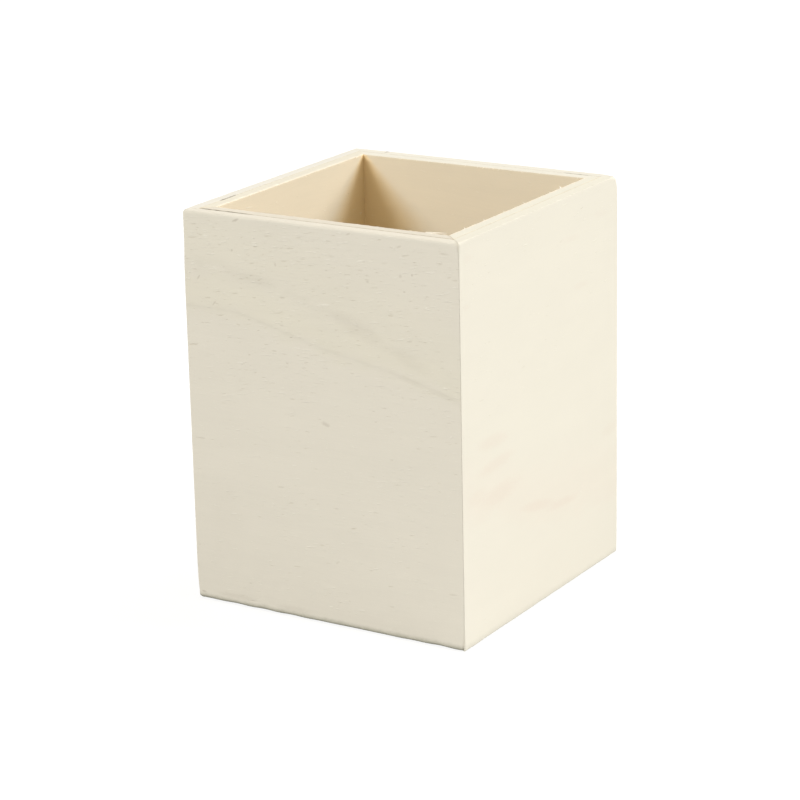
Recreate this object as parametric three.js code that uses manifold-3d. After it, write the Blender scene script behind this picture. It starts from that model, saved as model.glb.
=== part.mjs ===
// A pen holder: an upright, open-topped box of pale plywood, glued up with mitred corners.
// Every wall is two leaves, one inside the other, and the base is set in between the walls.
// Sizes are in millimetres. The box stands on the XY plane with the middle of its base at the
// origin. +Z is up, the front faces -Y and the right side faces +X.

import * as THREE from 'three';
import { mergeVertices } from 'three/addons/utils/BufferGeometryUtils.js';
import Module from 'manifold-3d';

const wasm = await Module();
wasm.setup();

// The whole box, measured outside.
const width = 78;
const depth = 80;
const height = 101;

// The walls: two leaves and the glue line between them.
const outerLeaf = 3;
const innerLeaf = 3;
const wallGlueLine = 0.2;
const mitreGlueLine = 0.1;

// The base: two leaves, and the clearance that it has to the walls all round.
const baseLowerLeaf = 3;
const baseUpperLeaf = 3;
const baseGlueLine = 0.2;
const baseClearance = 0.2;

// Radii that sanding has left on the edges.
const outsideArris = 0.7;
const rimInsideArris = 0.4;
const arcSteps = 4;

const wall = outerLeaf + wallGlueLine + innerLeaf;
const wellWidth = width - 2 * wall;
const wellDepth = depth - 2 * wall;

// Bare wood, paler outside, where it is sanded clean, than inside.
const outsideWood = 0xe9e1ce;
const insideWood = 0xe4d3b2;
const baseWood = 0xdcc8a0;
const woodRoughness = 0.8;

function toSolid(geometry) {
  const plain = geometry.clone();
  plain.deleteAttribute('normal');
  plain.deleteAttribute('uv');
  const merged = mergeVertices(plain);
  const mesh = new wasm.Mesh({
    numProp: 3,
    vertProperties: new Float32Array(merged.attributes.position.array),
    triVerts: new Uint32Array(merged.index.array),
  });
  return new wasm.Manifold(mesh);
}

function toGeometry(solid) {
  const mesh = solid.getMesh();
  const geometry = new THREE.BufferGeometry();
  geometry.setAttribute('position', new THREE.BufferAttribute(mesh.vertProperties, 3));
  geometry.setIndex(new THREE.BufferAttribute(mesh.triVerts, 1));
  geometry.computeVertexNormals();
  return geometry;
}

// A rectangle whose four corners each have a radius of their own, counted anticlockwise from
// the corner at (left, bottom).
function rectangle(left, bottom, right, top, radii) {
  const [a, b, c, d] = radii;
  const quarter = Math.PI / 2;
  const shape = new THREE.Shape();
  shape.moveTo(left + a, bottom);
  shape.lineTo(right - b, bottom);
  if (b > 0) shape.absarc(right - b, bottom + b, b, -quarter, 0);
  shape.lineTo(right, top - c);
  if (c > 0) shape.absarc(right - c, top - c, c, 0, quarter);
  shape.lineTo(left + d, top);
  if (d > 0) shape.absarc(left + d, top - d, d, quarter, 2 * quarter);
  shape.lineTo(left, bottom + a);
  if (a > 0) shape.absarc(left + a, bottom + a, a, 2 * quarter, 3 * quarter);
  return shape;
}

// A plan drawn in X and Y, carried up from the ground to the rim.
function upright(plan) {
  return new THREE.ExtrudeGeometry(plan, {
    depth: height,
    bevelEnabled: false,
    curveSegments: arcSteps,
  });
}

// A cross-section drawn with depth into the wall across and height up, carried along X.
function alongWall(section, length) {
  const geometry = new THREE.ExtrudeGeometry(section, {
    depth: length,
    bevelEnabled: false,
    curveSegments: arcSteps,
  });
  geometry.translate(0, 0, -length / 2);
  geometry.rotateY(Math.PI / 2);
  geometry.rotateX(Math.PI / 2);
  return geometry;
}

// The plan of a wall between its two mitres, which meet at 45 degrees behind it.
function mitredPlan(length) {
  const setBack = mitreGlueLine * Math.SQRT1_2;
  const reach = length / 2 - setBack;
  const plan = new THREE.Shape();
  plan.moveTo(-reach, 0);
  plan.lineTo(reach, 0);
  plan.lineTo(reach - wall, wall);
  plan.lineTo(-reach + wall, wall);
  return plan;
}

// One leaf of a wall. Y is the depth from the wall's outer face, and `across` is the size of the
// box at right angles to the wall.
function leafGeometry(section, length, across) {
  const outline = rectangle(-length / 2, 0, length / 2, across, Array(4).fill(outsideArris));
  const solid = toSolid(alongWall(section, length))
    .intersect(toSolid(upright(mitredPlan(length))))
    .intersect(toSolid(upright(outline)));
  return toGeometry(solid);
}

function woodPiece(name, geometry, color) {
  const material = new THREE.MeshStandardMaterial({
    color,
    roughness: woodRoughness,
    metalness: 0,
    flatShading: true,
  });
  const mesh = new THREE.Mesh(geometry, material);
  mesh.name = name;
  return mesh;
}

// A wall lies along X in its own group, with its outer face at Y = 0, facing -Y.
function makeWall(side, length, across) {
  const outer = rectangle(0, 0, outerLeaf, height, [outsideArris, 0, 0, outsideArris]);
  const inner = rectangle(wall - innerLeaf, 0, wall, height, [0, 0, rimInsideArris, 0]);
  const group = new THREE.Group();
  group.add(woodPiece(`${side}_outer_leaf`, leafGeometry(outer, length, across), outsideWood));
  group.add(woodPiece(`${side}_inner_leaf`, leafGeometry(inner, length, across), insideWood));
  return group;
}

// The base drops in between the inner leaves and lies level with their lower edges.
function makeBase() {
  const boardWidth = wellWidth - 2 * baseClearance;
  const boardDepth = wellDepth - 2 * baseClearance;
  const lower = new THREE.BoxGeometry(boardWidth, boardDepth, baseLowerLeaf);
  const upper = new THREE.BoxGeometry(boardWidth, boardDepth, baseUpperLeaf);
  const lowerMesh = woodPiece('base_lower_leaf', lower, baseWood);
  const upperMesh = woodPiece('base_upper_leaf', upper, baseWood);
  lowerMesh.position.z = baseLowerLeaf / 2;
  upperMesh.position.z = baseLowerLeaf + baseGlueLine + baseUpperLeaf / 2;
  const group = new THREE.Group();
  group.add(lowerMesh, upperMesh);
  return group;
}

const walls = [
  { side: 'front', length: width, across: depth, turn: 0, x: 0, y: -depth / 2 },
  { side: 'right', length: depth, across: width, turn: 1, x: width / 2, y: 0 },
  { side: 'back', length: width, across: depth, turn: 2, x: 0, y: depth / 2 },
  { side: 'left', length: depth, across: width, turn: 3, x: -width / 2, y: 0 },
];

const penHolder = new THREE.Group();
for (const { side, length, across, turn, x, y } of walls) {
  const group = makeWall(side, length, across);
  group.rotation.z = (turn * Math.PI) / 2;
  group.position.set(x, y, 0);
  penHolder.add(group);
}
penHolder.add(makeBase());

export default penHolder;
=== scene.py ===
import math

import bpy
import numpy as np
from mathutils import Matrix, Vector


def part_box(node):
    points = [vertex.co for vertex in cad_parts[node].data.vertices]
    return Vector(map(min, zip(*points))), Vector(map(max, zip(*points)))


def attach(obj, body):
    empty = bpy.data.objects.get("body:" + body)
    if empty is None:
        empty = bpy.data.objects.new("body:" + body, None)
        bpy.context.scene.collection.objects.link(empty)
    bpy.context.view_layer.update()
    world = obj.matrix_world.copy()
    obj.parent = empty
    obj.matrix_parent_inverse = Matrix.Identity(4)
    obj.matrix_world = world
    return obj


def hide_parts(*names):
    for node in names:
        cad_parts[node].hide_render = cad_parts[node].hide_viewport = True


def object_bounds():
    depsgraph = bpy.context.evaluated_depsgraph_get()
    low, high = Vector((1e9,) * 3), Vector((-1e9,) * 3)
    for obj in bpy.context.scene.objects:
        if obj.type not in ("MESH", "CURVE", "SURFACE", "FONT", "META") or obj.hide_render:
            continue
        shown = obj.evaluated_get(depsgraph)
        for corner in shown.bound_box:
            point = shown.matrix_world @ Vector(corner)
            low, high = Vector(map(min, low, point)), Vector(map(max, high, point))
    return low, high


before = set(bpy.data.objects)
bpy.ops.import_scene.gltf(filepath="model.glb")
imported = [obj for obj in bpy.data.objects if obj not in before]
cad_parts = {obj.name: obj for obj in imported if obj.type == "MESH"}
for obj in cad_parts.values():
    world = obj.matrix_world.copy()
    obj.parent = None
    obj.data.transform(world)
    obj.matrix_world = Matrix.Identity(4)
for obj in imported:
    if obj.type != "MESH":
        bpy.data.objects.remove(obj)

# A pen holder of bare pale plywood. Sizes are written in millimetres and turned into metres by mm.
mm = 0.001
cadLow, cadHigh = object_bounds()
halfWidth, halfDepth, rim = cadHigh
print("frame loaded:", len(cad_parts), "nodes")


# The camera stands front right of the box and a little above it, and leans very slightly.
camera = {
    "target": (-1.713, -1.053, 47.048),
    "distance": 714.3, "azimuth": 31.575, "elevation": 17.013, "roll": -1.246,
    "lens": 126.71, "sensor": 36.0, "clip": (0.01, 20),
}


def fromAngles(azimuth, elevation):
    # the direction towards something seen at that azimuth, from the front to the right, and elevation
    turn, lift = math.radians(azimuth), math.radians(elevation)
    return Vector((math.sin(turn) * math.cos(lift), -math.cos(turn) * math.cos(lift), math.sin(lift)))


def newObject(name, data):
    made = bpy.data.objects.new(name, data)
    bpy.context.scene.collection.objects.link(made)
    return made


def makeCamera(values):
    back = fromAngles(values["azimuth"], values["elevation"])
    lensData = bpy.data.cameras.new("camera")
    lensData.lens = values["lens"]
    lensData.sensor_width = values["sensor"]
    lensData.clip_start, lensData.clip_end = values["clip"]
    made = newObject("camera", lensData)
    rolled = Matrix.Rotation(math.radians(values["roll"]), 4, "Z")
    facing = (-back).to_track_quat("-Z", "Y").to_matrix().to_4x4()
    place = Matrix.Translation((Vector(values["target"]) + back * values["distance"]) * mm)
    made.matrix_world = place @ facing @ rolled
    bpy.context.scene.camera = made


makeCamera(camera)
print("camera placed")


# Helpers that put nodes into a tree. A socket given as a value is linked, anything else is set.
def addNode(tree, kind, inputs=None, **settings):
    made = tree.nodes.new(kind)
    for name, value in settings.items():
        setattr(made, name, value)
    for name, value in (inputs or {}).items():
        socket = made.inputs[name]
        if isinstance(value, bpy.types.NodeSocket):
            tree.links.new(value, socket)
        else:
            socket.default_value = value
    return made


def calc(tree, operation, *values, clamp=False):
    inputs = dict(enumerate(values))
    return addNode(tree, "ShaderNodeMath", inputs, operation=operation, use_clamp=clamp).outputs[0]


def calcPlace(tree, operation, first, second):
    inputs = {0: first, 1: second}
    return addNode(tree, "ShaderNodeVectorMath", inputs, operation=operation).outputs[0]


def ramp(tree, value, low, high, toLow=0.0, toHigh=1.0, kind="SMOOTHSTEP"):
    # a smooth step from one value to another, held beyond both ends
    inputs = {0: value, 1: low, 2: high, 3: toLow, 4: toHigh}
    return addNode(tree, "ShaderNodeMapRange", inputs, interpolation_type=kind).outputs[0]


def mixColours(tree, amount, first, second):
    inputs = {"Factor": amount, 6: first, 7: second}
    return addNode(tree, "ShaderNodeMix", inputs, data_type="RGBA").outputs[2]


def brighten(tree, shade, factor):
    return addNode(tree, "ShaderNodeHueSaturation", {"Value": factor, "Color": shade}).outputs[0]


def plus(tree, first, second):
    return calc(tree, "ADD", first, second)


def minus(tree, first, second):
    return calc(tree, "SUBTRACT", first, second)


def times(tree, first, second, clamp=False):
    return calc(tree, "MULTIPLY", first, second, clamp=clamp)


def split(tree, place):
    return addNode(tree, "ShaderNodeSeparateXYZ", {0: place}).outputs


def leaning(tree, place, angle):
    # the place turned in the plane of a wall's face
    inputs = {"Vector": place, "Axis": (0, 1, 0), "Angle": angle}
    return addNode(tree, "ShaderNodeVectorRotate", inputs, rotation_type="AXIS_ANGLE").outputs[0]


def stretched(tree, place, lengths, shift=None):
    # the place counted in cells of the given lengths, so that a pattern is drawn out along one way
    cells = calcPlace(tree, "DIVIDE", place, lengths)
    return cells if shift is None else calcPlace(tree, "ADD", cells, shift)


def noise(tree, place, lengths, shift, detail, roughness=0.5):
    # noise centred on nought, from about -0.5 to 0.5, in cells of the given lengths
    cells = stretched(tree, place, lengths, shift)
    inputs = {"Vector": cells, "Scale": 1.0, "Detail": detail, "Roughness": roughness}
    made = addNode(tree, "ShaderNodeTexNoise", inputs)
    return minus(tree, made.outputs[0], 0.5)


def newGroup(name, inputs, outputs, kind="ShaderNodeTree"):
    # a socket is given by its first value, a number, or by its type
    tree = bpy.data.node_groups.new(name, kind)
    for way, sockets in (("INPUT", inputs), ("OUTPUT", outputs)):
        for label, value in sockets.items():
            socketType = "NodeSocketFloat" if isinstance(value, float) else value
            socket = tree.interface.new_socket(label, in_out=way, socket_type=socketType)
            if isinstance(value, float):
                socket.default_value = value
    return tree, tree.nodes.new("NodeGroupInput").outputs, tree.nodes.new("NodeGroupOutput").inputs


def placeGroup(tree, group, inputs):
    return addNode(tree, "ShaderNodeGroup", inputs, node_tree=group).outputs


def colour(red, green, blue):
    # a colour as a screen shows it, 0 to 255, turned into the linear one that a shader takes
    shown = [value / 255 for value in (red, green, blue)]
    return tuple(v / 12.92 if v <= 0.04045 else ((v + 0.055) / 1.055) ** 2.4 for v in shown) + (1,)


# Every group reads a place in millimetres in a wall's own frame. The grain runs along.
def makeVeneerGrain():
    # fine streaks and slow changes of tone, as sliced veneer has them
    tree, start, end = newGroup(
        "veneerGrain",
        {"Place": "NodeSocketVector", "Seed": 0.0, "Streaks": 1.0, "Clouds": 1.0},
        {"Tone": 0.0, "Fibre": 0.0},
    )
    place, seed = start["Place"], start["Seed"]
    bend = noise(tree, place, (34, 9, 13), seed, 1)
    bent = addNode(tree, "ShaderNodeCombineXYZ", {"Z": times(tree, bend, 5.0)}).outputs[0]
    wavy = calcPlace(tree, "ADD", place, bent)
    fine = noise(tree, wavy, (8, 0.5, 0.42), seed, 3, 0.6)
    middle = noise(tree, wavy, (26, 1.6, 1.5), seed, 2)
    broad = noise(tree, wavy, (60, 7, 6), seed, 1)
    cloud = noise(tree, place, (17, 11, 12), seed, 2)
    streaks = plus(tree, times(tree, fine, 0.035), times(tree, middle, 0.03))
    streaks = times(tree, streaks, start["Streaks"])
    clouds = plus(tree, times(tree, broad, 0.03), times(tree, cloud, 0.035))
    clouds = times(tree, clouds, start["Clouds"])
    tree.links.new(plus(tree, streaks, clouds), end["Tone"])
    tree.links.new(fine, end["Fibre"])
    return tree


def makeFibreFlecks():
    # short ragged dashes along the grain where fibres were torn or lie raised; crowd lets more of them in
    tree, start, end = newGroup(
        "fibreFlecks",
        {"Place": "NodeSocketVector", "Seed": 0.0, "Crowd": 0.0, "Length": 1.8, "Thickness": 0.36},
        {"Torn": 0.0, "Raised": 0.0},
    )
    inputs = {"X": start["Length"], "Y": start["Thickness"], "Z": start["Thickness"]}
    sizes = addNode(tree, "ShaderNodeCombineXYZ", inputs).outputs[0]
    fibres = noise(tree, start["Place"], sizes, start["Seed"], 2, 0.55)
    torn = plus(tree, fibres, start["Crowd"])
    tree.links.new(ramp(tree, torn, 0.17, 0.27), end["Torn"])
    raised = minus(tree, start["Crowd"], fibres)
    tree.links.new(ramp(tree, raised, 0.14, 0.25), end["Raised"])
    return tree


def makeGrowthLine():
    # the edge of a year's growth: a darker core, a soft band round it, and a warmer zone above it;
    # broken is how much of the core is left where it is faintest
    tree, start, end = newGroup(
        "growthLine",
        {"Place": "NodeSocketVector", "Height": 0.0, "Seed": 0.0, "Width": 0.6, "Zone": 4.0,
         "Broken": 0.45},
        {"Core": 0.0, "Warm": 0.0},
    )
    place, seed = start["Place"], start["Seed"]
    up = split(tree, place)[2]
    frayed = times(tree, noise(tree, place, (3.5, 3, 0.9), seed, 3, 0.65), start["Width"])
    offset = plus(tree, minus(tree, up, start["Height"]), frayed)
    away = calc(tree, "DIVIDE", calc(tree, "ABSOLUTE", offset), start["Width"])
    core = calc(tree, "EXPONENT", times(tree, calc(tree, "POWER", away, 1.5), -1.0))
    soft = calc(tree, "EXPONENT", times(tree, away, -0.45))
    core = plus(tree, times(tree, core, 0.65), times(tree, soft, 0.35))
    patches = noise(tree, place, (7, 5, 3), seed, 3)
    patchy = ramp(tree, patches, -0.12, 0.1, start["Broken"], 1.0)
    tree.links.new(times(tree, core, patchy), end["Core"])
    blurred = plus(tree, offset, times(tree, patches, 12.0))
    rise = ramp(tree, blurred, -4.0, 3.0)
    fall = ramp(tree, calc(tree, "DIVIDE", blurred, start["Zone"]), 0.25, 1.0, 1.0, 0.0)
    tree.links.new(times(tree, rise, fall), end["Warm"])
    return tree


def makeSurfaceMark():
    # one oval mark with a frayed outline, at its own place, turned by its tilt in radians
    tree, start, end = newGroup(
        "surfaceMark",
        {"Place": "NodeSocketVector", "Fray": 0.0, "Spot": "NodeSocketVector", "Size": "NodeSocketVector",
         "Tilt": 0.0},
        {"Mask": 0.0},
    )
    away = calcPlace(tree, "SUBTRACT", start["Place"], start["Spot"])
    shares = stretched(tree, leaning(tree, away, start["Tilt"]), start["Size"])
    reach = addNode(tree, "ShaderNodeVectorMath", {0: shares}, operation="LENGTH").outputs["Value"]
    reach = plus(tree, reach, start["Fray"])
    tree.links.new(ramp(tree, reach, 0.9, 0.25), end["Mask"])
    return tree


def makeSeamStainAndRimHighlight():
    # a band along a line in the wall, stronger over one stretch: dark glue squeezed into the wood along the
    # seam between the leaves, and the painted highlight along the inner edge of the rim
    tree, start, end = newGroup(
        "seamStainAndRimHighlight",
        {"Place": "NodeSocketVector", "Seam": 3.1, "Width": 0.2, "Middle": 0.0, "Half": 5.0,
         "Stretch": 0.5, "Rest": 0.1, "Seed": 0.0},
        {"Mask": 0.0},
    )
    axes = split(tree, start["Place"])
    away = calc(tree, "ABSOLUTE", minus(tree, axes[1], start["Seam"]))
    rough = noise(tree, start["Place"], (1.6, 9, 9), start["Seed"], 3)
    away = minus(tree, away, times(tree, rough, start["Width"]))
    near = ramp(tree, calc(tree, "DIVIDE", away, start["Width"]), 0.5, 1.5, 1.0, 0.0)
    along = calc(tree, "ABSOLUTE", minus(tree, axes[0], start["Middle"]))
    along = calc(tree, "DIVIDE", along, start["Half"])
    share = ramp(tree, along, 0.7, 1.1, start["Stretch"], start["Rest"])
    share = times(tree, share, plus(tree, 0.9, times(tree, rough, 1.2)))
    tree.links.new(times(tree, near, share, clamp=True), end["Mask"])
    return tree


def makeFootShade():
    # painted contact shade along the wood's lowest outside edge, where it stands on the floor
    tree, start, end = newGroup(
        "footShade", {"Place": "NodeSocketVector", "Reach": 1.0, "Seed": 0.0}, {"Mask": 0.0}
    )
    axes = split(tree, start["Place"])
    rough = noise(tree, start["Place"], (3.2, 1.5, 3.2), start["Seed"], 3, 0.6)
    rough = times(tree, rough, times(tree, start["Reach"], 0.5))
    outside = ramp(tree, plus(tree, axes[1], rough), start["Reach"], 0.0)
    low = ramp(tree, plus(tree, axes[2], rough), start["Reach"], 0.0)
    tree.links.new(times(tree, low, outside), end["Mask"])
    return tree


veneerGrain = makeVeneerGrain()
fibreFlecks = makeFibreFlecks()
growthLine = makeGrowthLine()
surfaceMark = makeSurfaceMark()
seamStainAndRimHighlight = makeSeamStainAndRimHighlight()
footShade = makeFootShade()
print("finish groups built")


# Each wall has a frame of its own: along it to the right as one looks at its outside, into it, and up.
walls = {
    "front": {"along": (1, 0), "outward": (0, -1), "half": halfWidth, "face": halfDepth},
    "right": {"along": (0, 1), "outward": (1, 0), "half": halfDepth, "face": halfWidth},
    "back": {"along": (-1, 0), "outward": (0, 1), "half": halfWidth, "face": halfDepth},
    "left": {"along": (0, -1), "outward": (-1, 0), "half": halfDepth, "face": halfWidth},
}

# How the veneer of each wall looks. Along and up are millimetres in the wall's frame; lines are
# (along, up) points, and a mark is (along, up, length, thickness, tilt in degrees, strength).
veneer = {
    "tint": colour(231, 225, 211), "streaks": 0.7, "clouds": 1.0, "flecks": -0.02,
    "zoneColour": colour(228, 223, 172), "markColour": colour(120, 96, 66),
}
# The foot value of each wall is how strong the painted contact shade along its foot is.
outsideLook = {
    "front": {
        **veneer, "rimTint": colour(231, 224, 210), "seed": 3.0, "streaks": 1.0, "flecks": 0.0,
        "footShade": 0.62,
        "lines": [
            {"points": [(-39, 77), (-29, 77), (-24, 76.8), (-19, 75.7), (-9, 73.2), (1, 70.7),
                        (11, 69.0), (21, 67.3), (26, 66.2), (31, 65.0), (39, 62.3)],
             "width": 0.5, "core": 0.062, "warm": 0.07, "zone": 14, "broken": 0.55},
            {"points": [(-39, 88), (-29, 87.5), (-22, 86), (-13, 84.5), (-4, 82.3), (4, 79),
                        (8, 77.8), (15, 76.2), (24, 72.6), (33, 69.3), (39, 64.8)],
             "width": 1.9, "core": 0.036, "warm": 0.045, "zone": 20, "broken": 0.15},
        ],
        "marks": [
            (11, 76.8, 14, 3.4, -24, 0.046), (-19, 86, 9, 2.6, -14, 0.03), (25, 70.8, 10, 2.6, -22, 0.034),
            (-27, 2.4, 9, 1.1, 0, 0.08), (-10, 2.2, 7, 1.0, 1, 0.07), (-30, 24, 9, 13, 0, 0.016),
            (1.0, 51.8, 2.0, 0.8, -12, 0.16), (-23.2, 99.9, 1.6, 0.45, 24, 0.24),
            (8.8, 99.9, 1.0, 0.35, 20, 0.18), (22.8, 98.3, 1.1, 0.45, 25, 0.12),
            (35, 97.9, 2.0, 0.3, 2, 0.13), (-12.1, 90.1, 0.5, 0.7, 0, 0.17),
            (23, 91.3, 0.6, 0.55, 0, 0.16), (26.2, 91.9, 0.45, 0.45, 0, 0.22),
            (13.9, 88.9, 0.6, 0.45, 0, 0.15), (24, 87.6, 0.55, 0.32, 0, 0.17),
            (-24.6, 92.3, 0.45, 0.5, 0, 0.2), (-34.8, 84.4, 1.2, 0.35, 55, 0.17),
            (-30.4, 78.4, 1.2, 0.35, 50, 0.17), (-10.4, 82.1, 1.2, 0.38, 0, 0.15),
            (-13.2, 68.4, 1.1, 0.35, 0, 0.12), (25.2, 75.7, 1.3, 0.4, 15, 0.11),
            (-36.2, 42.9, 2.2, 0.35, 3, 0.12), (-12.7, 33.7, 1.5, 0.35, 3, 0.11),
            (3.4, 30.7, 1.4, 0.3, 3, 0.11), (14.6, 31.4, 1.3, 0.3, 3, 0.09),
            (35.9, 14.1, 1.6, 0.4, 4, 0.11), (3.3, 16.7, 1.0, 0.35, 35, 0.09),
            (-37.2, 2.0, 1.2, 0.4, 0, 0.2), (25, 66.0, 7, 1.1, -13, 0.045), (33, 63.9, 6, 1.1, -20, 0.04),
        ],
    },
    "right": {
        "tint": colour(231, 226, 212), "rimTint": colour(234, 229, 214), "seed": 17.0,
        "streaks": 0.25, "clouds": 0.8, "flecks": -0.06, "footShade": 0.15,
        "zoneColour": colour(234, 208, 194), "markColour": colour(196, 128, 104),
        "lines": [
            {"points": [(-40, 33), (-24, 30), (-8, 24), (8, 20), (20, 19), (40, 15)],
             "width": 1.6, "core": 0.004, "warm": 0.07, "zone": 20, "broken": 0.0},
        ],
        "marks": [
            (-3, 26.0, 13, 2.2, -10, 0.06), (10, 22.8, 12, 1.8, -4, 0.055), (-25, 49, 11, 2.8, -4, 0.055),
            (-22, 35, 15, 4, 2, 0.055), (-24, 43, 13, 2.6, 3, 0.055), (-33, 37, 7, 3.0, 0, 0.035),
            (15, 90, 7, 1.4, -3, 0.025), (20, 77.0, 6, 1.4, -2, 0.03), (31, 93, 6, 1.5, -6, 0.02),
            (36, 35, 7, 2.6, 4, 0.03), (-36, 96.5, 3, 1.6, 0, 0.025), (-37, 85, 3, 1.0, 0, 0.025),
            (-30.5, 60.5, 1.8, 0.25, 0, 0.04), (-26.7, 74, 1.0, 0.4, 0, 0.03), (4, 12, 70, 45, 0, 0.012),
        ],
    },
    "back": {
        **veneer, "rimTint": colour(235, 230, 217), "seed": 29.0, "footShade": 0.4,
        "lines": [
            {"points": [(-39, 40), (-25, 44), (-10, 46), (5, 45), (20, 41), (39, 37)],
             "width": 0.6, "core": 0.05, "warm": 0.1, "zone": 9, "broken": 0.5},
            {"points": [(-39, 52), (-22, 57), (-6, 60), (8, 58.5), (22, 53), (39, 48)],
             "width": 1.3, "core": 0.045, "warm": 0.05, "zone": 9, "broken": 0.1},
        ],
        "marks": [
            (28.6, 101, 0.9, 0.7, 0, 0.5), (12, 71, 1.7, 0.6, -8, 0.1), (-21, 24, 1.4, 0.35, 2, 0.06),
            (27, 88, 1.2, 0.35, 4, 0.06),
        ],
    },
    "left": {
        **veneer, "rimTint": colour(233, 228, 217), "seed": 41.0, "footShade": 0.5,
        "lines": [
            {"points": [(-40, 28), (-22, 30), (-4, 33), (14, 38), (30, 41), (40, 42)],
             "width": 0.7, "core": 0.05, "warm": 0.1, "zone": 9, "broken": 0.4},
        ],
        "marks": [
            (-14, 63, 1.5, 0.4, 3, 0.07), (18, 84, 1.3, 0.35, 0, 0.06), (24, 17, 1.6, 0.35, -3, 0.06),
        ],
    },
}
insideTints = {
    "front": colour(228, 217, 194), "right": colour(228, 217, 194),
    "back": colour(232, 220, 197), "left": colour(225, 213, 190),
}
insideLook = {
    side: {
        "tint": insideTints[side], "rimTint": outsideLook[side]["rimTint"],
        "seed": outsideLook[side]["seed"] + 7, "streaks": 1.0, "clouds": 0.9, "flecks": -0.08,
        "markColour": colour(206, 132, 92), "lines": [], "marks": [],
    }
    for side in walls
}
insideLook["back"]["marks"] = [
    (-4, 93, 13, 2.4, 3, 0.05), (8, 84, 15, 2.2, -2, 0.05), (-18, 87, 12, 2.8, 2, 0.05),
    (20, 94, 9, 1.8, 0, 0.03), (-12, 68, 14, 3, 0, 0.04),
]
insideLook["left"]["marks"] = [
    (6, 93, 13, 2.6, -2, 0.04), (17, 83, 11, 2.4, 2, 0.04), (-10, 78, 12, 3, 0, 0.03),
]
insideLook["front"]["rimTint"] = colour(226, 218, 203)
insideLook["left"]["rimTint"] = colour(232, 225, 208)
# Where each seam is stained dark: the middle and half length of the worst stretch along the wall, how
# strong the stain is there and elsewhere, and how wide it is.
seamLook = {
    "front": {"Middle": -28.3, "Half": 8.1, "Stretch": 0.8, "Rest": 0.15, "Width": 0.28},
    "right": {"Middle": 0.0, "Half": 1.0, "Stretch": 0.0, "Rest": 0.0, "Width": 0.15},
    "back": {"Middle": -29.0, "Half": 4.0, "Stretch": 0.45, "Rest": 0.06, "Width": 0.28},
    "left": {"Middle": 24.5, "Half": 3.5, "Stretch": 0.75, "Rest": 0.02, "Width": 0.28},
}
# How strong the painted golden shade is in the corners of each inner face, at its left and its right end,
# seen from outside.
cornerStains = {"front": (0.1, 0.05), "right": (0.05, 0.05), "back": (0.05, 0.5), "left": (0.5, 0.1)}
# How strong the painted highlight along the inner edge of each rim is.
paleEdges = {"front": 0.15, "right": 0.8, "back": 0.1, "left": 0.4}
order = list(walls)
for index, side in enumerate(order):
    meeting = (order[index - 1], order[(index + 1) % 4])
    for looks in (outsideLook, insideLook):
        looks[side]["seam"] = seamLook[side]
        # the rim's tint runs over into that of the walls it meets, before and after it
        looks[side]["rimEnds"] = [looks[other]["rimTint"] for other in meeting]
    insideLook[side]["cornerStain"] = cornerStains[side]
    insideLook[side]["paleEdge"] = paleEdges[side]
woodFinish = {
    "roughness": 0.72, "unevenRoughness": 0.2, "gloss": 0.25, "bump": 0.02 * mm,
    "fleckSizes": ((4.4, 0.65, 0.22, 0.34), (2.6, 0.55, 0.18, 0.28)),
    "fleckTilt": 7.0, "crowding": 0.11, "fleckRelief": 2.5,
    "markRelief": 1.5, "flatMarks": 1.0,  # a mark thinner than flatMarks is also a dent
    "fleckColour": colour(176, 160, 128), "paleFibre": colour(252, 248, 236),
    "seamColour": colour(92, 76, 50), "rimBlend": 7.0, "wallThickness": 6.2,
    # the colour, reach and depth limit of the painted shade in the inner corners
    "cornerShadeColour": colour(255, 219, 150), "cornerShadeReach": 1.2, "cornerShadeLimit": 18.0,
    # the colour, depth and width of the painted highlight along the rim's inner edge
    "rimHighlightColour": colour(255, 243, 224), "edgeDepth": 6.1, "edgeWidth": 0.5,
    # the colour and reach of the painted contact shade along the foot
    "footShadeColour": colour(112, 116, 90), "footShadeReach": 2.0,
}


def newMaterial(name):
    made = bpy.data.materials.new(name)
    made.use_nodes = True
    return made, made.node_tree


def setSurface(tree, shade, rough, gloss, relief, bump):
    # what every material of the box feeds into its shader; bump is how high the relief stands
    shader = tree.nodes["Principled BSDF"]
    tree.links.new(shade, shader.inputs["Base Color"])
    tree.links.new(rough, shader.inputs["Roughness"])
    shader.inputs["Specular IOR Level"].default_value = gloss
    if bump:
        inputs = {"Strength": 1.0, "Distance": bump, "Height": relief}
        tree.links.new(addNode(tree, "ShaderNodeBump", inputs).outputs[0], shader.inputs["Normal"])


def wallPlace(tree, side):
    # the place in millimetres in the wall's own frame, from the object's coordinates
    wall = walls[side]
    turn = -math.atan2(wall["along"][1], wall["along"][0])
    inputs = {
        "Vector": addNode(tree, "ShaderNodeTexCoord").outputs["Object"],
        "Location": (0, wall["face"] / mm, 0),
        "Rotation": (0, 0, turn),
        "Scale": (1 / mm, 1 / mm, 1 / mm),
    }
    return addNode(tree, "ShaderNodeMapping", inputs, vector_type="POINT").outputs[0]


def lineHeight(tree, place, points, half):
    # how high the growth line runs at each place along the wall
    along = split(tree, place)[0]
    share = ramp(tree, along, -half, half, kind="LINEAR")
    made = addNode(tree, "ShaderNodeFloatCurve", {"Value": share})
    bends = made.mapping.curves[0].points
    top = rim / mm
    spots = [((x + half) / (2 * half), up / top) for x, up in points]
    bends[0].location = spots[0]
    bends[-1].location = spots[-1]
    for spot in spots[1:-1]:
        bends.new(*spot)
    made.mapping.update()
    return times(tree, made.outputs[0], top)


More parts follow.
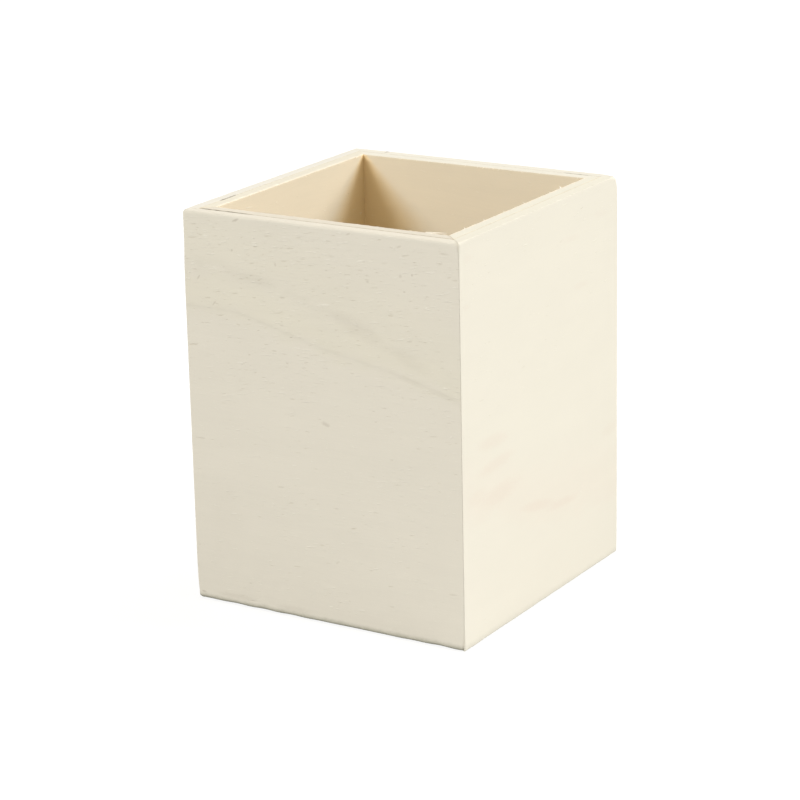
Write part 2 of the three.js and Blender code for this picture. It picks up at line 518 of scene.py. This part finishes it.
def addFlecks(tree, place, look, finish, onFace, shade):
    # crowds of short flecks in two sizes, denser near the rim; they colour the wood and lift it
    up = split(tree, place)[2]
    crowd = noise(tree, place, (15, 15, 11), (look["seed"], 0, 0), 1)
    crowd = plus(tree, crowd, ramp(tree, up, 30.0, 95.0, -0.14, 0.25))
    crowd = plus(tree, look["flecks"], times(tree, crowd, finish["crowding"]))
    place = leaning(tree, place, math.radians(finish["fleckTilt"]))
    lift = None
    for index, (length, thickness, dark, light) in enumerate(finish["fleckSizes"]):
        inputs = {
            "Place": place, "Seed": look["seed"] + 5 * index, "Crowd": crowd,
            "Length": length, "Thickness": thickness,
        }
        flecks = placeGroup(tree, fibreFlecks, inputs)
        torn = times(tree, times(tree, flecks["Torn"], dark), onFace)
        raised = times(tree, times(tree, flecks["Raised"], light), onFace)
        shade = mixColours(tree, torn, shade, finish["fleckColour"])
        shade = mixColours(tree, raised, shade, finish["paleFibre"])
        step = minus(tree, flecks["Raised"], flecks["Torn"])
        lift = step if lift is None else plus(tree, lift, step)
    return shade, times(tree, lift, finish["fleckRelief"])


def woodMaterial(name, side, look, finish):
    made, tree = newMaterial(name)
    half = walls[side]["half"] / mm
    place = wallPlace(tree, side)
    inputs = {"Place": place, "Seed": look["seed"], "Streaks": look["streaks"], "Clouds": look["clouds"]}
    grain = placeGroup(tree, veneerGrain, inputs)
    tone = plus(tree, 1.0, grain["Tone"])
    warmth = None
    for index, line in enumerate(look["lines"]):
        inputs = {
            "Place": place, "Height": lineHeight(tree, place, line["points"], half),
            "Seed": look["seed"] + index, "Width": line["width"], "Zone": line["zone"],
            "Broken": line["broken"],
        }
        edge = placeGroup(tree, growthLine, inputs)
        tone = minus(tree, tone, times(tree, edge["Core"], line["core"]))
        warm = times(tree, edge["Warm"], line["warm"])
        warmth = warm if warmth is None else calc(tree, "MAXIMUM", warmth, warm)
    # the sawn rim has a tint of its own, and flecks belong to the veneer's face
    normal = addNode(tree, "ShaderNodeNewGeometry").outputs["Normal"]
    facing = split(tree, normal)[2]
    onFace = ramp(tree, facing, 0.6, 0.9, 1.0, 0.0)
    tint = look["tint"]
    if warmth is not None:
        tint = mixColours(tree, warmth, tint, look["zoneColour"])
    axes = split(tree, place)
    along = axes[0]
    if "cornerStain" in look:
        # painted shade in a corner: it widens from the rim down, up to a limit, as the shadow there does
        spread = minus(tree, rim / mm + 1, axes[2])
        spread = calc(tree, "MINIMUM", spread, finish["cornerShadeLimit"])
        for end, tintShare in zip((-half, half), look["cornerStain"]):
            away = calc(tree, "ABSOLUTE", minus(tree, along, end))
            away = minus(tree, away, finish["wallThickness"])
            cornerShaded = ramp(tree, calc(tree, "DIVIDE", away, spread), finish["cornerShadeReach"], 0.4, 0.0, tintShare)
            tint = mixColours(tree, cornerShaded, tint, finish["cornerShadeColour"])
    rimTint = look["rimTint"]
    if "rimEnds" in look:
        for end, meeting in zip((-half, half), look["rimEnds"]):
            share = ramp(tree, along, end * (1 - finish["rimBlend"] / half), end, 0.0, 0.5)
            rimTint = mixColours(tree, share, rimTint, meeting)
    tint = mixColours(tree, onFace, rimTint, tint)
    shade = brighten(tree, tint, tone)
    shade, lift = addFlecks(tree, place, look, finish, onFace, shade)
    if look["marks"]:
        fray = times(tree, noise(tree, place, (0.9, 0.5, 0.4), None, 2), 0.7)
    for along, up, length, thickness, tilt, strength in look["marks"]:
        inputs = {
            "Place": place, "Fray": fray, "Spot": (along, 0, up), "Size": (length, 3, thickness),
            "Tilt": math.radians(tilt),
        }
        mark = placeGroup(tree, surfaceMark, inputs)["Mask"]
        shade = mixColours(tree, times(tree, mark, strength), shade, look["markColour"])
        if thickness < finish["flatMarks"]:
            lift = minus(tree, lift, times(tree, mark, finish["markRelief"]))
    if "seam" in look:
        tintShare = placeGroup(tree, seamStainAndRimHighlight, {"Place": place, "Seed": look["seed"], **look["seam"]})["Mask"]
        shade = mixColours(tree, tintShare, shade, finish["seamColour"])
    if "paleEdge" in look:
        # a painted highlight along the rim's inner edge, the whole length of the wall, on what faces up
        inputs = {
            "Place": place, "Seam": finish["edgeDepth"], "Width": finish["edgeWidth"], "Half": 2 * half,
            "Stretch": look["paleEdge"], "Seed": look["seed"],
        }
        highlighted = placeGroup(tree, seamStainAndRimHighlight, inputs)["Mask"]
        highlighted = times(tree, highlighted, ramp(tree, facing, 0.4, 0.7))
        shade = mixColours(tree, highlighted, shade, finish["rimHighlightColour"])
    # painted contact shade along the foot
    if "footShade" in look:
        inputs = {"Place": place, "Reach": finish["footShadeReach"], "Seed": look["seed"]}
        tintShare = times(tree, placeGroup(tree, footShade, inputs)["Mask"], look["footShade"])
        shade = mixColours(tree, tintShare, shade, finish["footShadeColour"])
    rough = plus(tree, finish["roughness"], times(tree, grain["Fibre"], finish["unevenRoughness"]))
    relief = plus(tree, times(tree, lift, onFace), grain["Fibre"])
    setSurface(tree, shade, rough, finish["gloss"], relief, finish["bump"])
    return made


def mottledMaterial(name, values, shade):
    # a plain material with soft blotches in its colour and roughness
    made, tree = newMaterial(name)
    place = stretched(tree, addNode(tree, "ShaderNodeTexCoord").outputs["Object"], (mm, mm, mm))
    blotches = noise(tree, place, values["blotches"], None, values["detail"])
    tone = plus(tree, 1.0, times(tree, blotches, values["contrast"]))
    rough = ramp(tree, blotches, -0.3, 0.3, *values["roughness"])
    setSurface(tree, brighten(tree, shade, tone), rough, values["gloss"], blotches, values["bump"])
    return made


def leafDepths(side, leaf):
    wall = walls[side]
    outward = Vector((*wall["outward"], 0))
    depths = [wall["face"] - outward.dot(corner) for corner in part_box(f"{side}_{leaf}_leaf")]
    return min(depths), max(depths)


def wallToWorld(side, along, deep, up):
    wall = walls[side]
    out = wall["face"] - deep
    x = wall["along"][0] * along + wall["outward"][0] * out
    y = wall["along"][1] * along + wall["outward"][1] * out
    return np.stack([x, y, up], 1)


# What sanding and handling have done to the edges of the leaves. The left and right ends of a leaf
# reach past their mitres, or stop short, by endShift. The radius of a top arris is (along the rim, at
# its corners). An open stretch of a seam is (along, half length, how much rounder its edges are).
leafShape = {
    "mitreGap": 0.01 * mm,
    "endShift": {"front": (0, -0.12 * mm), "right": (0.12 * mm, 0), "back": (0, 0), "left": (0, 0)},
    "arrisRadius": 0.16 * mm, "rimInsideRadius": 0.35 * mm, "seamRadius": 0.06 * mm,
    "topArrisRadius": {
        "front": (0.75 * mm, 0.6 * mm), "right": (0.12 * mm, 0.2 * mm),
        "back": (0.45 * mm, 0.6 * mm), "left": (0.5 * mm, 0.6 * mm),
    },
    "footArrisRadius": {"front": 1.1 * mm, "right": 0.5 * mm, "back": 0.8 * mm, "left": 0.8 * mm},
    "seamOpenings": {
        "front": [(-27 * mm, 9 * mm, 0.12 * mm)], "right": [],
        "back": [(-29 * mm, 4 * mm, 0.15 * mm)], "left": [(24.5 * mm, 3.5 * mm, 0.15 * mm)],
    },
    "rimDrop": {"front": 0.08 * mm, "right": 0, "back": 0.05 * mm, "left": 0.03 * mm},
    "arrisFade": 3 * mm, "arrisWave": 5 * mm, "arrisUnevenness": 0.22,
    "seamWave": 2.5 * mm, "seamUnevenness": 0.5,
    "rimWave": 4 * mm, "rimUnevenness": 0.3,
    "bow": 0.06 * mm, "bowWave": 45 * mm, "bowMargin": 8 * mm, "bowDepth": 1 * mm,
    "pitch": 0.6 * mm,
    "edgeSteps": (0, 0.05, 0.11, 0.18, 0.27, 0.38, 0.5, 0.65, 0.82, 1.05, 1.4, 1.9),
}
# Places where the outside edge is rubbed rounder: where, as shares of half the width, half the depth
# and the height; how far the wear runs each way; how much it adds to the radius.
wornPlaces = [
    ((1, 1, 1), (2.6, 2.6, 2.2), 1.3),  # the back right top corner
    ((-1, -1, 0.94), (6, 6, 7), 0.5),  # the front left upright
    ((1, -1, 1), (3, 3, 2.5), 0.5),  # the near top corner
    ((-1, -1, 0), (40, 5, 5), 0.35),  # the foot at the front left
]


def waves(along, across, length, seed):
    # smooth noise between about -1 and 1, from a few sine waves with fixed random directions
    picked = np.random.default_rng(seed)
    total = np.zeros_like(along)
    for _ in range(7):
        heading = picked.uniform(0, 2 * math.pi)
        phase = picked.uniform(0, 2 * math.pi)
        wave = length * picked.uniform(0.6, 1.8)
        way = along * math.cos(heading) + across * math.sin(heading)
        total += np.sin(way * 2 * math.pi / wave + phase)
    return total / 4


def edgeLines(length, values):
    # coordinates from 0 to length, close together near both ends
    near = np.array(values["edgeSteps"]) * mm
    near = near[near < length * 0.48]
    middle = length - 2 * near[-1]
    count = max(1, round(middle / values["pitch"]))
    inner = near[-1] + middle * np.arange(1, count) / count
    return np.concatenate([near, inner, (length - near)[::-1]])


def gridShell(counts):
    # the points on the outside of a block of grid points, and the quads that join them, facing out
    ids = np.zeros(counts, int) - 1
    onShell = np.zeros(counts, bool)
    for axis in range(3):
        for end in (0, -1):
            cut = [slice(None)] * 3
            cut[axis] = end
            onShell[tuple(cut)] = True
    ids[onShell] = np.arange(onShell.sum())
    quads = []
    for grid, flipped in (
        (ids[0], False), (ids[-1], True), (ids[:, 0], True),
        (ids[:, -1], False), (ids[:, :, 0], False), (ids[:, :, -1], True),
    ):
        loop = [grid[:-1, :-1], grid[:-1, 1:], grid[1:, 1:], grid[1:, :-1]]
        if flipped:
            loop.reverse()
        quads.append(np.stack([corner.ravel() for corner in loop], 1))
    return np.argwhere(onShell), np.concatenate(quads)


def easeEdges(distances, radius):
    # distances to the faces that meet at an edge or corner: inside the radius they follow a ball
    over = np.clip(radius[:, None] - distances, 0, None)
    length = np.linalg.norm(over, axis=1)
    ratio = np.divide(over.max(1), length, out=np.ones_like(length), where=length > 0)
    return np.where(over > 0, radius[:, None] - over * ratio[:, None], distances)


def outerRadius(side, along, deep, up, values):
    # how round the outside edge is here: it differs from rim to foot, and wanders a little
    nearTop = np.exp(-(rim - up) / values["arrisFade"])
    nearFoot = np.exp(-up / values["arrisFade"])
    nearCorner = np.exp(-(walls[side]["half"] - np.abs(along)) / values["arrisFade"])
    topRadius, cornerRadius = values["topArrisRadius"][side]
    topRadius = topRadius + nearCorner * (cornerRadius - topRadius)
    radius = values["arrisRadius"] + nearTop * (topRadius - values["arrisRadius"])
    radius += nearFoot * (values["footArrisRadius"][side] - values["arrisRadius"])
    world = wallToWorld(side, along, deep, up)
    uneven = waves(world[:, 0] + world[:, 1], world[:, 2], values["arrisWave"], seed=11)
    radius *= 1 + values["arrisUnevenness"] * uneven
    for at, reach, extra in wornPlaces:
        offset = (world - np.array(at) * (halfWidth, halfDepth, rim)) / (np.array(reach) * mm)
        radius += extra * mm * np.exp(-(offset ** 2).sum(1))
    return radius


def seamRadius(side, along, values):
    # the edges of the two leaves at their seam are sharp, but rounder where the seam stands open
    uneven = waves(along, along * 0, values["seamWave"], seed=31)
    radius = values["seamRadius"] * (1 + values["seamUnevenness"] * uneven)
    for middle, half, extra in values["seamOpenings"][side]:
        radius += extra * np.exp(-((along - middle) / half) ** 4)
    return radius


def meshObject(name, points, faces, material, smooth=True):
    mesh = bpy.data.meshes.new(name)
    mesh.from_pydata(np.asarray(points).tolist(), [], np.asarray(faces).tolist())
    mesh.validate()
    mesh.polygons.foreach_set("use_smooth", [smooth] * len(mesh.polygons))
    mesh.materials.append(material)
    return newObject(name, mesh)


def makeLeaf(side, leaf, values):
    half = walls[side]["half"]
    near, far = leafDepths(side, leaf)
    top = rim - values["rimDrop"][side]
    alongLines = edgeLines(2 * half, values) / half - 1
    deepLines = edgeLines(far - near, values)
    upLines = edgeLines(top, values)
    index, quads = gridShell((len(alongLines), len(deepLines), len(upLines)))
    deep = near + deepLines[index[:, 1]]
    up = upLines[index[:, 2]]
    share = alongLines[index[:, 0]]
    # both ends follow the 45 degree mitres
    endShift = np.where(share < 0, *values["endShift"][side])
    along = share * np.clip(half - deep - values["mitreGap"] + endShift, 0, half)
    seamEdge = seamRadius(side, along, values)
    upper = up > top / 2
    if leaf == "outer":
        # the outside edges of the box, then a very slight hollow in the face
        ends = np.where(along < 0, -1, 1)
        distances = np.stack([deep, half - np.abs(along), np.where(upper, top - up, up)], 1)
        eased = easeEdges(distances, outerRadius(side, along, deep, up, values))
        hollow = values["bow"] * (1 + waves(along, up, values["bowWave"], seed=len(side)))
        hollow *= np.clip(eased[:, 1:] / values["bowMargin"], 0, 1).prod(1)
        deep = eased[:, 0] + hollow * np.clip(1 - deep / values["bowDepth"], 0, 1)
        along = ends * (half - eased[:, 1])
        up = np.where(upper, top - eased[:, 2], eased[:, 2])
        seam = far - deep
    else:
        uneven = waves(along, along * 0, values["rimWave"], seed=23)
        radius = values["rimInsideRadius"] * (1 + values["rimUnevenness"] * uneven)
        eased = easeEdges(np.stack([far - deep, top - up], 1), radius)
        deep, up = far - eased[:, 0], top - eased[:, 1]
        seam = deep - near
    # the edges along the seam between the two leaves, at the rim and at the foot
    eased = easeEdges(np.stack([seam, np.where(upper, top - up, up)], 1), seamEdge)
    deep = far - eased[:, 0] if leaf == "outer" else near + eased[:, 0]
    up = np.where(upper, top - eased[:, 1], eased[:, 1])
    look = outsideLook[side] if leaf == "outer" else insideLook[side]
    name = side + leaf.capitalize()
    wood = woodMaterial(f"{name}Wood", side, look, woodFinish)
    made = meshObject(f"{name}Leaf", wallToWorld(side, along, deep, up), quads, wood)
    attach(made, "root")
    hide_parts(f"{side}_{leaf}_leaf")


for side in walls:
    makeLeaf(side, "outer", leafShape)
    makeLeaf(side, "inner", leafShape)
print("walls made")


# The glue that shows in the seams between the leaves of each wall. It lies below the rim by recess,
# and deeper where the seam stands open.
glueFinish = {
    "blotches": (2.4, 2.4, 1.2), "detail": 3, "contrast": 0.5, "roughness": (0.45, 0.75), "gloss": 0.5,
    "bump": 0.05 * mm,
}
glue = {
    "colours": {
        "front": colour(150, 128, 92), "right": colour(226, 216, 192),
        "back": colour(206, 190, 160), "left": colour(222, 208, 182),
    },
    "recess": {"front": 0.05 * mm, "right": 0.03 * mm, "back": 0.05 * mm, "left": 0.05 * mm},
    "openRecess": 1.2, "step": 1 * mm,
}


def glueStrip(side, near, far, count, levels, gap=0.0):
    # a strip of glue along a wall between two depths: along, deep and level of its points, and its quads
    index, quads = gridShell((count + 1, 2, levels))
    deep = np.where(index[:, 1] == 0, near, far)
    along = np.linspace(-1, 1, count + 1)[index[:, 0]] * (walls[side]["half"] - deep - gap)
    return along, deep, index[:, 2], quads


def makeSeamGlue(side, values):
    near = leafDepths(side, "outer")[1]
    far = leafDepths(side, "inner")[0]
    count = round(2 * walls[side]["half"] / values["step"])
    heights = np.array([0, 0.3, 0.6, 0.9, 1.0])
    along, deep, level, quads = glueStrip(side, near, far, count, len(heights), leafShape["mitreGap"])
    opened = seamRadius(side, along, leafShape) - leafShape["seamRadius"]
    recess = np.clip(values["recess"][side] + values["openRecess"] * opened, 0.02 * mm, None)
    top = rim - leafShape["rimDrop"][side]
    up = recess + heights[level] * (top - 2 * recess)
    hardened = mottledMaterial(f"{side}SeamGlue", glueFinish, values["colours"][side])
    made = meshObject(f"{side}SeamGlue", wallToWorld(side, along, deep, up), quads, hardened)
    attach(made, "root")


for side in walls:
    makeSeamGlue(side, glue)
print("glue seams made")


# The base: two boards set between the walls, hidden in the photograph, with softened edges.
baseShape = {
    "radius": 0.25 * mm, "unevenness": 0.3, "wave": 9 * mm,
    "pitch": 1.2 * mm, "edgeSteps": (0, 0.08, 0.2, 0.4, 0.8),
}
baseLook = {
    "tint": colour(228, 217, 192), "rimTint": colour(226, 214, 188), "seed": 57.0,
    "streaks": 1.1, "clouds": 1.0, "flecks": -0.05, "lines": [], "marks": [],
}


def makeBaseBoard(node, name, values):
    low, high = (np.array(corner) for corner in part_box(node))
    size = high - low
    lines = [edgeLines(length, values) for length in size]
    index, quads = gridShell([len(steps) for steps in lines])
    points = np.stack([lines[axis][index[:, axis]] for axis in range(3)], 1)
    upper = points > size / 2
    uneven = waves(points[:, 0], points[:, 1], values["wave"], seed=5)
    radius = values["radius"] * (1 + values["unevenness"] * uneven)
    eased = easeEdges(np.where(upper, size - points, points), radius)
    wood = woodMaterial(name + "Wood", "front", baseLook, woodFinish)
    made = meshObject(name, low + np.where(upper, size - eased, eased), quads, wood)
    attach(made, "root")
    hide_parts(node)


makeBaseBoard("base_lower_leaf", "baseLowerBoard", baseShape)
makeBaseBoard("base_upper_leaf", "baseUpperBoard", baseShape)


# The bead of glue round the base, sunk a little below its top and above its underside.
baseGlue = {
    "colour": colour(196, 178, 142),
    "recess": 0.2 * mm, "unevenness": 0.12 * mm, "wave": 7 * mm, "step": 1 * mm,
}


def makeBaseGlue(side, values):
    boards = [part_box("base_lower_leaf"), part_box("base_upper_leaf")]
    outward = Vector((*walls[side]["outward"], 0))
    near = leafDepths(side, "inner")[1]
    far = walls[side]["face"] - max(outward.dot(corner) for corner in boards[1])
    low, high = boards[0][0].z, boards[1][1].z
    count = round(2 * (walls[side]["half"] - near) / values["step"])
    heights = np.array([0, 0.4, 0.8, 1.0])
    along, deep, level, quads = glueStrip(side, near, far, count, len(heights))
    sunk = values["recess"] + values["unevenness"] * waves(along, along * 0, values["wave"], seed=71)
    up = low + sunk + (high - low - 2 * sunk) * heights[level]
    hardened = mottledMaterial(f"{side}BaseGlue", glueFinish, values["colour"])
    made = meshObject(f"{side}BaseGlue", wallToWorld(side, along, deep, up), quads, hardened)
    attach(made, "root")


for side in walls:
    makeBaseGlue(side, baseGlue)
print("base made")


# Splinters: fine whiskers all along the inner edge of the rim, and a few longer slivers. A whisker
# leans into the box, and besides by something between leanLow and leanHigh.
splinters = {
    "spacing": 0.9 * mm, "length": 0.75 * mm, "thickness": 0.11 * mm, "chance": 0.5, "sunk": 0.12 * mm,
    "seeds": {"front": 3, "right": 8, "back": 13, "left": 18},
    "colour": colour(250, 242, 226),
    "finish": {
        "blotches": (0.8, 0.8, 0.3), "detail": 2, "contrast": 0.2, "roughness": (0.6, 0.85), "gloss": 0.25,
        "bump": 0,
    },
    "leanLow": (-1.0, -1.0, -0.45), "leanHigh": (1.0, 1.0, 0.0),
    "smallest": 0.4, "largest": 1.6,
    "sliverBend": 1.3, "sliverTaper": 0.8, "sliverFlatness": 0.6,
    "slivers": [
        ("front", 26.5, 4.6, 0.95, 0.4), ("front", -4.5, 1.1, 0.2, 0.6), ("front", 12.5, 0.9, 0.18, 0.7),
        ("right", -26.8, 1.6, 0.36, 0.7), ("right", -17.6, 1.6, 0.3, 0.7),
        ("right", -7.7, 1.4, 0.22, 0.9), ("right", 2.4, 1.5, 0.24, 1.1), ("right", 15.4, 1.2, 0.26, 0.9),
        ("right", 20.8, 2.2, 0.6, 0.65), ("left", -31.0, 2.0, 0.3, 0.5), ("left", -12.0, 1.3, 0.2, 0.6),
        ("back", -14.0, 1.1, 0.2, 0.5), ("back", 21.0, 1.4, 0.2, 0.5),
    ],
}


def makeSplinterTree(values):
    # points along a curve, on some of which stands a thin cone that leans along it and into the box
    inputs = {
        "Path": "NodeSocketGeometry", "Inwards": "NodeSocketVector", "Seed": "NodeSocketInt",
        "Material": "NodeSocketMaterial",
    }
    tree, start, end = newGroup("rimSplinters", inputs, {"Mesh": "NodeSocketGeometry"}, "GeometryNodeTree")
    seed = start["Seed"]
    inputs = {"Curve": start["Path"], "Length": values["spacing"]}
    points = addNode(tree, "GeometryNodeCurveToPoints", inputs, mode="LENGTH").outputs
    inputs = {"Probability": values["chance"], "Seed": seed}
    chosen = addNode(tree, "FunctionNodeRandomValue", inputs, data_type="BOOLEAN").outputs[3]
    inputs = {0: values["leanLow"], 1: values["leanHigh"], "Seed": seed}
    lean = addNode(tree, "FunctionNodeRandomValue", inputs, data_type="FLOAT_VECTOR").outputs[0]
    lean = calcPlace(tree, "ADD", lean, start["Inwards"])
    turned = addNode(tree, "FunctionNodeAlignRotationToVector", {"Vector": lean}, axis="Z").outputs[0]
    inputs = {2: values["smallest"], 3: values["largest"], "Seed": seed}
    scale = addNode(tree, "FunctionNodeRandomValue", inputs, data_type="FLOAT").outputs[1]
    inputs = {
        "Vertices": 4, "Side Segments": 2, "Radius Top": 0.0, "Radius Bottom": values["thickness"] / 2,
        "Depth": values["length"],
    }
    cone = addNode(tree, "GeometryNodeMeshCone", inputs, fill_type="NGON").outputs[0]
    inputs = {
        "Points": points["Points"], "Selection": chosen, "Instance": cone, "Rotation": turned,
        "Scale": scale,
    }
    placed = addNode(tree, "GeometryNodeInstanceOnPoints", inputs).outputs[0]
    whole = addNode(tree, "GeometryNodeRealizeInstances", {"Geometry": placed}).outputs[0]
    inputs = {"Geometry": whole, "Material": start["Material"]}
    tree.links.new(addNode(tree, "GeometryNodeSetMaterial", inputs).outputs[0], end["Mesh"])
    return tree


def rimEdge(side, along, values):
    # places on the rounded inner edge of a wall's rim, just under its surface
    far = leafDepths(side, "inner")[1] - values["sunk"]
    top = rim - leafShape["rimDrop"][side] - values["sunk"]
    return wallToWorld(side, along, np.full_like(along, far), np.full_like(along, top))


def makeSplinters(side, tree, material, values):
    reach = walls[side]["half"] - leafDepths(side, "inner")[1]
    path = rimEdge(side, np.linspace(-reach, reach, 30), values)
    curve = bpy.data.curves.new(f"{side}SplinterPath", "CURVE")
    curve.dimensions = "3D"
    spline = curve.splines.new("POLY")
    spline.points.add(len(path) - 1)
    for point, place in zip(spline.points, path):
        point.co = (*place, 1)
    holder = newObject(f"{side}SplinterPath", curve)
    modifier = holder.modifiers.new("splinters", "NODES")
    modifier.node_group = tree
    inwards = -np.array([*walls[side]["outward"], 0.0])
    settings = {"Inwards": inwards, "Seed": values["seeds"][side], "Material": material}
    for item in tree.interface.items_tree:
        if item.in_out == "INPUT" and item.name in settings:
            modifier[item.identifier] = settings[item.name]
    graph = bpy.context.evaluated_depsgraph_get()
    mesh = bpy.data.meshes.new_from_object(holder.evaluated_get(graph), depsgraph=graph)
    bpy.data.objects.remove(holder)
    mesh.name = f"{side}Splinters"
    made = newObject(f"{side}Splinters", mesh)
    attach(made, "root")


def makeSlivers(material, values):
    # each sliver is (wall, along, length, thickness, lean into the box): a flat strip that thins to a point
    rings = np.array([0, 0.25, 0.5, 0.75, 1.0])
    points, faces = [], []
    for side, along, length, thickness, lean in values["slivers"]:
        start = rimEdge(side, np.array([along * mm]), values)[0]
        run = np.array([*walls[side]["along"], 0.0])
        inwards = -np.array([*walls[side]["outward"], 0.0])
        first = len(points)
        for share in rings:
            sideways = inwards * lean * share ** values["sliverBend"]
            middle = start + (run * share + sideways) * length * mm
            half = 0.5 * thickness * mm * (1 - values["sliverTaper"] * share ** 2)
            for turn in range(4):
                angle = math.radians(45 + 90 * turn)
                rise = values["sliverFlatness"] * np.array([0, 0, math.sin(angle)])
                points.append(middle + half * (inwards * math.cos(angle) + rise))
        for ring in range(len(rings) - 1):
            for turn in range(4):
                a, b = first + 4 * ring + turn, first + 4 * ring + (turn + 1) % 4
                faces.append([a, b, b + 4, a + 4])
        faces.append([first + 3, first + 2, first + 1, first])
        faces.append([len(points) - 4, len(points) - 3, len(points) - 2, len(points) - 1])
    made = meshObject("rimSlivers", points, faces, material)
    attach(made, "root")


splinterWood = mottledMaterial("splinterWood", splinters["finish"], splinters["colour"])
splinterTree = makeSplinterTree(splinters)
for side in walls:
    makeSplinters(side, splinterTree, splinterWood, splinters)
makeSlivers(splinterWood, splinters)
print("splinters made")


# A plain pale floor that keeps the shadow, white beyond it, and plain soft studio light.
studio = {
    "floorSize": 6.0, "floorDrop": 0.05 * mm,
    "floorPaint": 0.3, "floorGlow": 0.79, "floorBounce": 0.45,
    "world": 0.38, "worldColour": (1.04, 1.0, 0.88, 1),
    "lamps": [  # name, azimuth, elevation, spread, strength
        ("rightKey", 112.5, 20, 20, 2.32), ("leftKey", -25, 28, 20, 1.85), ("backFill", 160, 55, 30, 0.72),
    ],
}


def showToCamera(tree, seen, lit, output):
    # the camera sees one shader, straight, in gloss or through glass, and the other lights the box
    path = addNode(tree, "ShaderNodeLightPath").outputs
    sight = calc(tree, "MAXIMUM", path["Is Camera Ray"], path["Is Glossy Ray"])
    sight = calc(tree, "MAXIMUM", sight, path["Is Transmission Ray"])
    inputs = {0: sight, 1: lit.outputs[0], 2: seen.outputs[0]}
    shown = addNode(tree, "ShaderNodeMixShader", inputs)
    addNode(tree, output, {"Surface": shown.outputs[0]})


def makeFloor(values):
    reach = values["floorSize"] / 2
    drop = -values["floorDrop"]
    corners = [(-reach, -reach, drop), (reach, -reach, drop), (reach, reach, drop), (-reach, reach, drop)]
    paint, tree = newMaterial("floorPaint")
    tree.nodes.clear()
    pale, faint = values["floorBounce"], values["floorPaint"]
    bounce = addNode(tree, "ShaderNodeBsdfDiffuse", {"Color": (pale, pale, pale, 1)})
    shadow = addNode(tree, "ShaderNodeBsdfDiffuse", {"Color": (faint, faint, faint, 1)})
    glow = addNode(tree, "ShaderNodeEmission", {"Color": (1, 1, 1, 1), "Strength": values["floorGlow"]})
    seen = addNode(tree, "ShaderNodeAddShader", {0: shadow.outputs[0], 1: glow.outputs[0]})
    showToCamera(tree, seen, bounce, "ShaderNodeOutputMaterial")
    floor = meshObject("floor", corners, [(0, 1, 2, 3)], paint, smooth=False)


def makeWorld(values):
    world = bpy.data.worlds.new("studio")
    bpy.context.scene.world = world
    world.use_nodes = True
    tree = world.node_tree
    tree.nodes.clear()
    inputs = {"Color": values["worldColour"], "Strength": values["world"]}
    light = addNode(tree, "ShaderNodeBackground", inputs)
    white = addNode(tree, "ShaderNodeBackground", {"Color": (1, 1, 1, 1), "Strength": 1.0})
    showToCamera(tree, white, light, "ShaderNodeOutputWorld")


def makeLamp(name, azimuth, elevation, spread, strength):
    back = fromAngles(azimuth, elevation)
    light = bpy.data.lights.new(name, "SUN")
    light.angle = math.radians(spread)
    light.energy = strength
    made = newObject(name, light)
    made.location = back
    made.rotation_mode = "QUATERNION"
    made.rotation_quaternion = (-back).to_track_quat("-Z", "Y")


makeFloor(studio)
makeWorld(studio)
for lamp in studio["lamps"]:
    makeLamp(*lamp)
bpy.context.scene.view_settings.view_transform = "Standard"
print("studio lit")
